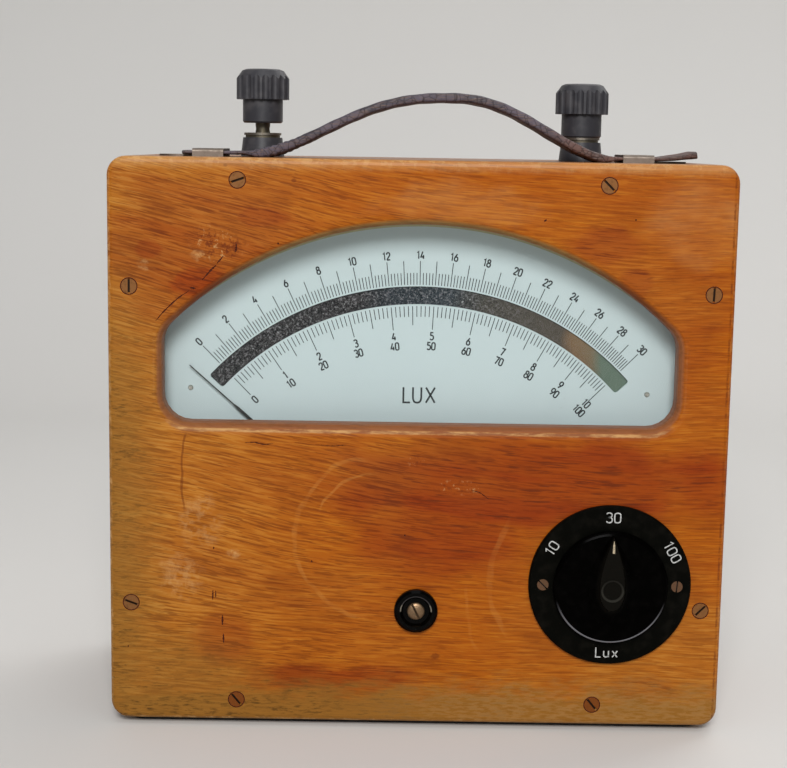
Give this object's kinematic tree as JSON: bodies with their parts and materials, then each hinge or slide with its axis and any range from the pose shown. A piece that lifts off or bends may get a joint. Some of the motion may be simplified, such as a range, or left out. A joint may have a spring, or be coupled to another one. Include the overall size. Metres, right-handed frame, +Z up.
{
  "type": "lux meter",
  "caption": "Portable light meter in a wooden case with an arched dial window, a moving-coil pointer movement, a range switch, a zero corrector, screw terminals and a strap.",
  "frame": {"origin": "on the surface the plinth stands on, below the middle of the case", "axes": "+X to the right seen from the dial side, +Y from the dial face to the back, +Z up"},
  "size_m": [0.2, 0.1039, 0.2153],
  "materials": {
    "varnished_oak": "varnished",
    "dark_oak": "varnished",
    "screw_steel": "worn",
    "plinth_fibre": "matt",
    "glass": "clear",
    "spring_steel": "satin",
    "dial_enamel": "matt",
    "mirror": "aged",
    "aluminium": "satin",
    "brass": "satin",
    "magnet_steel": "painted",
    "soft_iron": "ground",
    "copper": "enamelled",
    "bronze": "satin",
    "pointer_black": "matt",
    "bakelite": "dull",
    "nickel": "worn",
    "dial_black": "matt",
    "bakelite_gloss": "polished",
    "paxolin": "matt",
    "strap_leather": "worn",
    "bracket_steel": "dull"
  },
  "bodies": {
    "case": {"front_panel": "varnished_oak", "case_top": "dark_oak", "case_bottom": "dark_oak", "case_side_left": "dark_oak", "case_side_right": "dark_oak", "back_panel": "dark_oak", "case_screws": "screw_steel", "plinth": "plinth_fibre", "window_glass": "glass", "glass_clips": "spring_steel", "small_wood_screws": "screw_steel", "scale_plate": "dial_enamel", "scale_mirror": "mirror", "scale_carrier": "aluminium", "scale_screws": "brass", "movement_frame": "aluminium", "movement_posts": "brass", "movement_screws": "screw_steel", "magnet": "magnet_steel", "pole_shoes": "soft_iron", "core": "soft_iron", "core_brackets": "brass", "front_bridge": "aluminium", "rear_bridge": "aluminium", "bridge_screws": "screw_steel", "jewel_screws": "brass", "pointer_stops": "spring_steel", "zero_bezel": "bakelite", "panel_nuts": "brass", "range_dial": "dial_black", "range_dial_screws": "copper", "switch_bush": "brass", "switch_base": "paxolin", "detent_spring": "spring_steel", "switch_wafer": "paxolin", "switch_contacts": "brass", "range_resistors": "paxolin", "terminal_bases": "bakelite", "terminal_studs": "brass", "terminal_washers": "nickel", "terminal_nuts": "brass", "carrying_strap": "strap_leather", "strap_brackets": "bracket_steel"},
    "moving_coil": {"coil_former": "aluminium", "coil_winding": "copper", "pivot_staffs": "spring_steel", "hairsprings": "bronze", "pointer": "pointer_black", "balance_arms": "brass"},
    "zero_corrector": {"zero_screw": "nickel"},
    "zero_arm": {"zero_adjust_arm": "brass"},
    "range_switch": {"range_knob": "bakelite_gloss", "knob_cap": "bakelite_gloss", "switch_shaft": "spring_steel", "detent_disc": "spring_steel", "switch_wiper": "bronze"},
    "left_cap_thread": {"cap_insert_left": "brass"},
    "left_cap": {"terminal_cap_left": "bakelite"},
    "right_cap_thread": {"cap_insert_right": "brass"},
    "right_cap": {"terminal_cap_right": "bakelite"}
  },
  "joints": [
    {"name": "pointer_swing", "type": "hinge", "parent": "case", "child": "moving_coil", "pos_m": [0, -0.0165, 0.0513], "axis": [0, 1, 0], "range_deg": [0, 97]},
    {"name": "zero_turn", "type": "hinge", "parent": "case", "child": "zero_corrector", "pos_m": [0, -0.0475, 0.0403], "axis": [0, 1, 0], "range_deg": [-40, 40]},
    {"name": "zero_arm_swing", "type": "hinge", "parent": "case", "child": "zero_arm", "pos_m": [0, -0.0368, 0.0513], "axis": [0, 1, 0], "range_deg": [-3.9, 3.9]},
    {"name": "range_turn", "type": "hinge", "parent": "case", "child": "range_switch", "pos_m": [0.0629, -0.05, 0.05], "axis": [0, 1, 0], "range_deg": [-60, 60], "deforming": ["detent_spring"]},
    {"name": "left_cap_rise", "type": "slide", "parent": "case", "child": "left_cap_thread", "axis": [0, 0, 1], "range_m": [-0.0033, 0.0037]},
    {"name": "left_cap_turn", "type": "hinge", "parent": "left_cap_thread", "child": "left_cap", "pos_m": [-0.0544, 0, 0.2], "axis": [0, 0, 1], "range_deg": [-1489.5, 1669.5]},
    {"name": "right_cap_rise", "type": "slide", "parent": "case", "child": "right_cap_thread", "axis": [0, 0, 1], "range_m": [0, 0.007]},
    {"name": "right_cap_turn", "type": "hinge", "parent": "right_cap_thread", "child": "right_cap", "pos_m": [0.0544, 0, 0.2], "axis": [0, 0, 1], "range_deg": [0, 3154.5]}
  ],
  "couplings": [
    {"joint": "zero_arm_swing", "follows": "zero_turn", "ratio": 0.0955},
    {"joint": "left_cap_turn", "follows": "left_cap_rise", "rad_per_m": 7854},
    {"joint": "right_cap_turn", "follows": "right_cap_rise", "rad_per_m": 7854}
  ]
}
